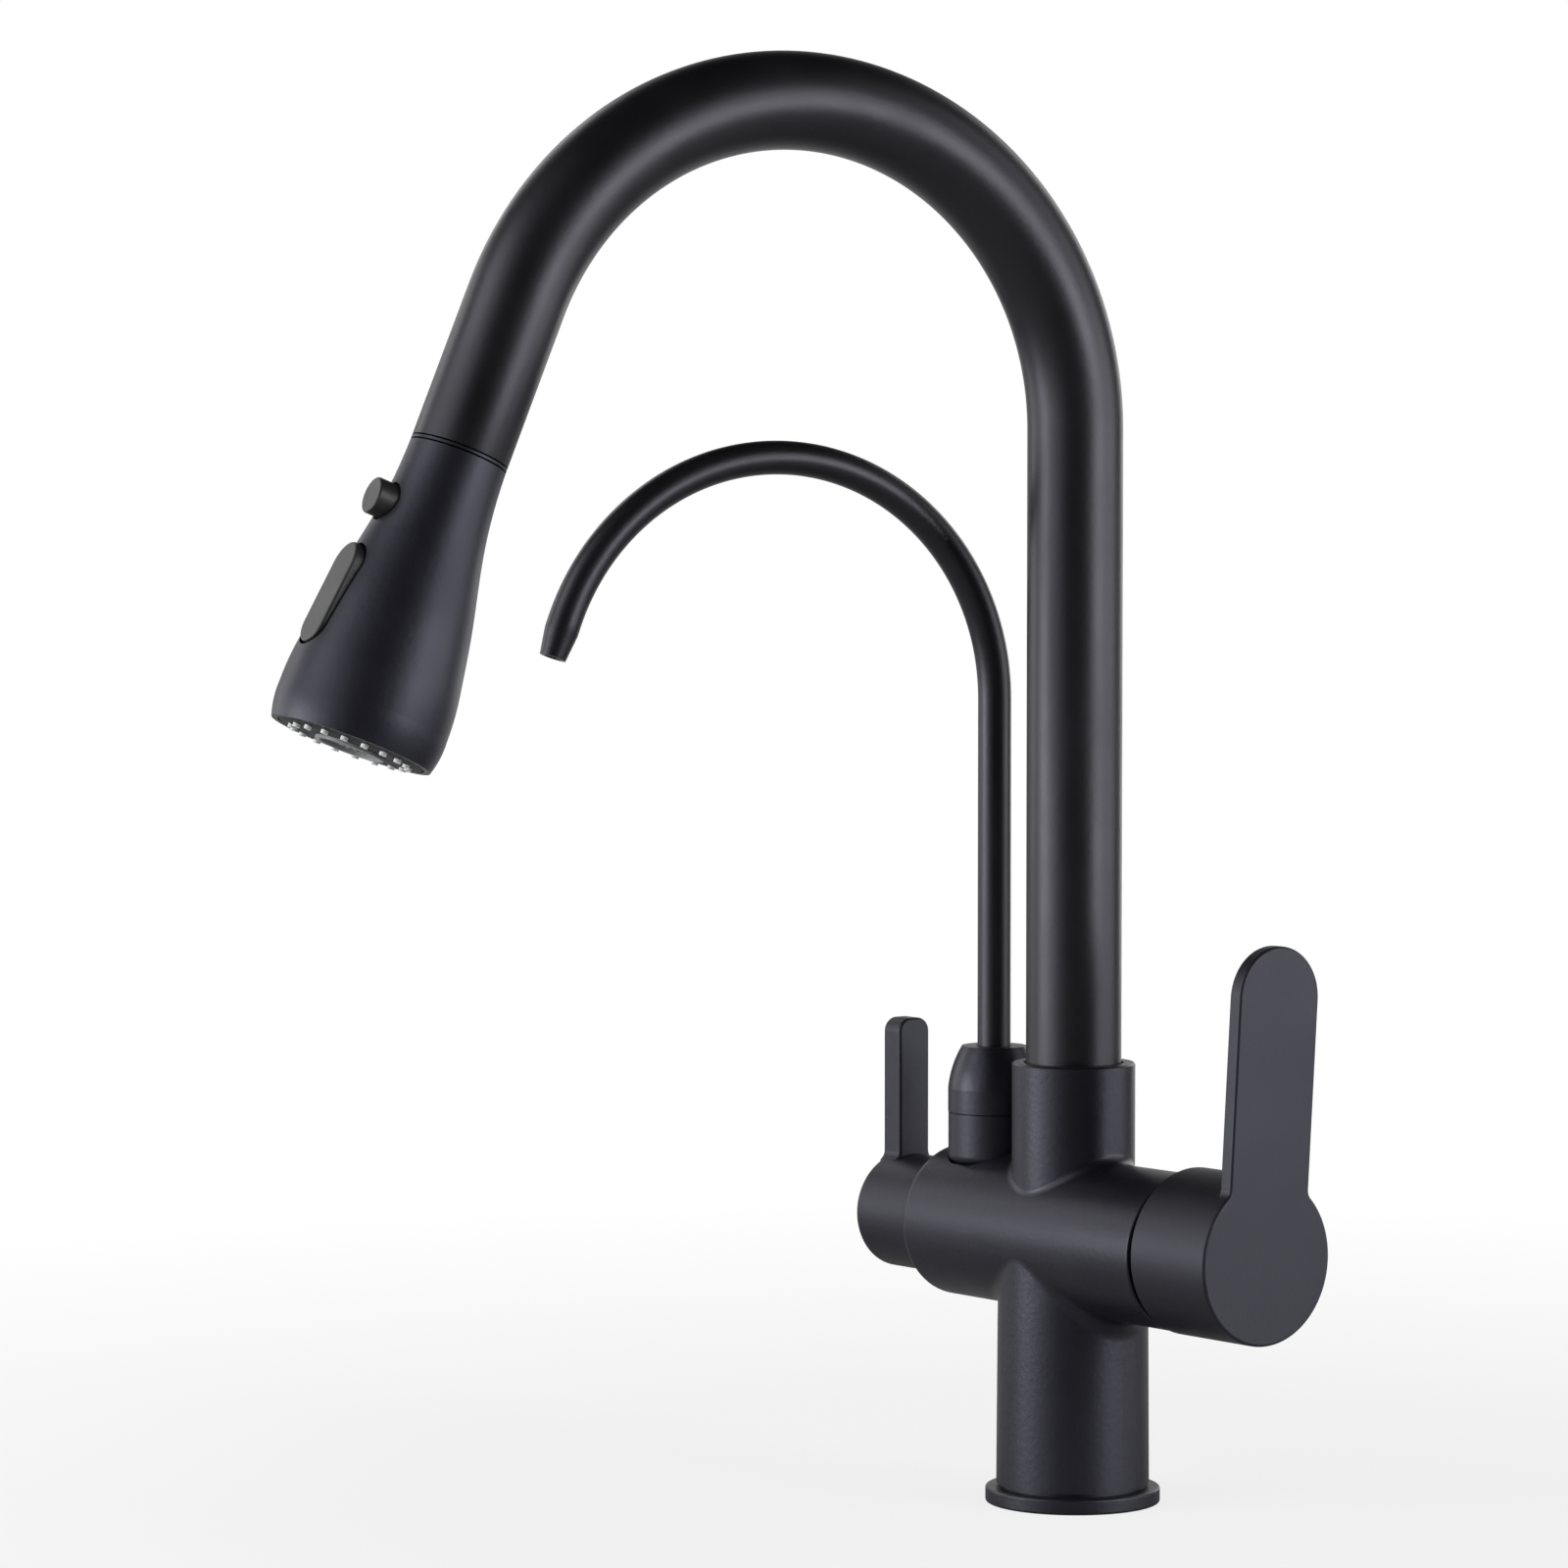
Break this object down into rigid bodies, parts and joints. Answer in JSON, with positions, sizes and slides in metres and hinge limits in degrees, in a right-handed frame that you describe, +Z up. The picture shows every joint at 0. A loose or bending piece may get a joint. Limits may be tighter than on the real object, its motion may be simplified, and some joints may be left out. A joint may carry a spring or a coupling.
{
  "type": "pull-out kitchen faucet",
  "caption": "Black single-hole kitchen faucet: tall gooseneck with a pull-out spray head, side mixer lever, and a slim second spout with its own small lever for filtered water.",
  "frame": {"origin": "centre of the deck flange, at the level of the deck", "axes": "+Z up along the column, +X towards the big mixer lever, -Y towards the user"},
  "size_m": [0.1657, 0.2726, 0.4218],
  "materials": {
    "black_coat": "satin black powder coat",
    "brass": "turned",
    "black_plastic": "moulded, fine grain",
    "white_plastic": "moulded",
    "ceramic": null,
    "seal_rubber": "smooth",
    "steel": "machined stainless steel",
    "nozzle_silicone": "pale silicone",
    "grey_plastic": "moulded",
    "braided_hose": "black nylon braid"
  },
  "bodies": {
    "base": {"valve_body": "black_coat", "base_flange": "black_coat", "deck_gasket": "seal_rubber", "cartridge_base": "white_plastic", "cartridge_seals": "seal_rubber", "fixed_ceramic_disc": "ceramic", "cartridge_housing": "white_plastic", "cartridge_nut": "brass", "cover_dome": "black_coat", "filter_headwork": "brass", "filter_seat_seal": "seal_rubber", "filter_fixed_disc": "ceramic", "filter_socket": "black_coat", "filter_bell_nut": "black_coat", "filter_bush": "white_plastic", "wear_ring": "white_plastic", "glide_ring": "white_plastic", "keeper_screw": "steel"},
    "mixer_carrier": {"swivel_carrier": "white_plastic", "spindle_pin": "steel"},
    "mixer_handle": {"lever_spindle": "brass", "mixer_lever": "black_coat", "lever_grub_screw": "steel", "screw_cover": "black_coat"},
    "moving_disc": {"moving_ceramic_disc": "ceramic", "disc_driver": "white_plastic"},
    "filter_handle": {"filter_spindle": "brass", "filter_moving_disc": "ceramic", "filter_lever": "black_coat", "filter_lever_screw": "steel"},
    "main_spout": {"spout_foot": "brass", "spout_seal": "seal_rubber", "gooseneck_tube": "black_coat", "docking_guide": "black_plastic", "pullout_hose": "braided_hose"},
    "filter_spout": {"filter_foot": "brass", "filter_foot_seals": "seal_rubber", "filter_tube": "black_coat", "filter_tip": "black_coat"},
    "hose_end": {"hose_tail": "braided_hose", "hose_ferrule": "steel"},
    "spray_head": {"hose_nut": "steel", "hose_washer": "seal_rubber", "head_shell": "black_coat", "neck_ring": "black_coat", "waterway_body": "black_plastic", "check_valve": "white_plastic", "button_spring": "steel", "rocker_pin": "steel", "diffuser": "black_plastic", "nozzle_mat": "nozzle_silicone", "spray_face": "black_plastic", "stream_insert": "grey_plastic", "stream_mesh": "grey_plastic"},
    "pause_button": {"pause_button": "black_coat"},
    "mode_rocker": {"mode_rocker": "black_coat"},
    "diverter_spool": {"diverter_spool": "black_plastic"}
  },
  "joints": [
    {"name": "spout_swivel", "type": "hinge", "parent": "base", "child": "main_spout", "pos_m": [0, 0, 0.1022], "axis": [0, 0, 1], "range_deg": [-180, 180]},
    {"name": "filter_spout_swivel", "type": "hinge", "parent": "base", "child": "filter_spout", "pos_m": [-0.0364, 0, 0.0986], "axis": [0, 0, 1], "range_deg": [-90, 50]},
    {"name": "mixer_turn", "type": "hinge", "parent": "base", "child": "mixer_carrier", "pos_m": [0.034, 0, 0.0785], "axis": [1, 0, 0], "range_deg": [-45, 45]},
    {"name": "mixer_lift", "type": "hinge", "parent": "mixer_carrier", "child": "mixer_handle", "pos_m": [0.034, 0, 0.0785], "axis": [0, 0.998, -0.0628], "range_deg": [0, 22]},
    {"name": "disc_slide", "type": "slide", "parent": "mixer_carrier", "child": "moving_disc", "axis": [0, 0.0628, 0.998], "range_m": [0, 0.00192]},
    {"name": "filter_turn", "type": "hinge", "parent": "base", "child": "filter_handle", "pos_m": [-0.0819, 0, 0.0785], "axis": [1, 0, 0], "range_deg": [0, 90]},
    {"name": "pull_out", "type": "slide", "parent": "main_spout", "child": "hose_end", "axis": [-0.0698, -0.373, -0.9252], "range_m": [0, 0.2]},
    {"name": "head_twist", "type": "hinge", "parent": "hose_end", "child": "spray_head", "pos_m": [-0.0361, -0.19292, 0.30808], "axis": [-0.0698, -0.373, -0.9252], "range_deg": [-180, 180]},
    {"name": "button_press", "type": "slide", "parent": "spray_head", "child": "pause_button", "axis": [0.1702, 0.9094, -0.3795], "range_m": [0, 0.002], "stiffness_N_per_m": 700, "springref_m": -0.0012, "deforming": ["button_spring"]},
    {"name": "rocker_tilt", "type": "hinge", "parent": "spray_head", "child": "mode_rocker", "pos_m": [-0.04234, -0.22623, 0.26762], "axis": [-0.9829, 0.184, 0], "range_deg": [0, 6]},
    {"name": "spool_slide", "type": "slide", "parent": "spray_head", "child": "diverter_spool", "axis": [-0.0698, -0.373, -0.9252], "range_m": [0, 0.0012]}
  ],
  "couplings": [
    {"joint": "disc_slide", "follows": "mixer_lift", "m_per_rad": 0.004878},
    {"joint": "spool_slide", "follows": "rocker_tilt", "m_per_rad": 0.010082}
  ]
}
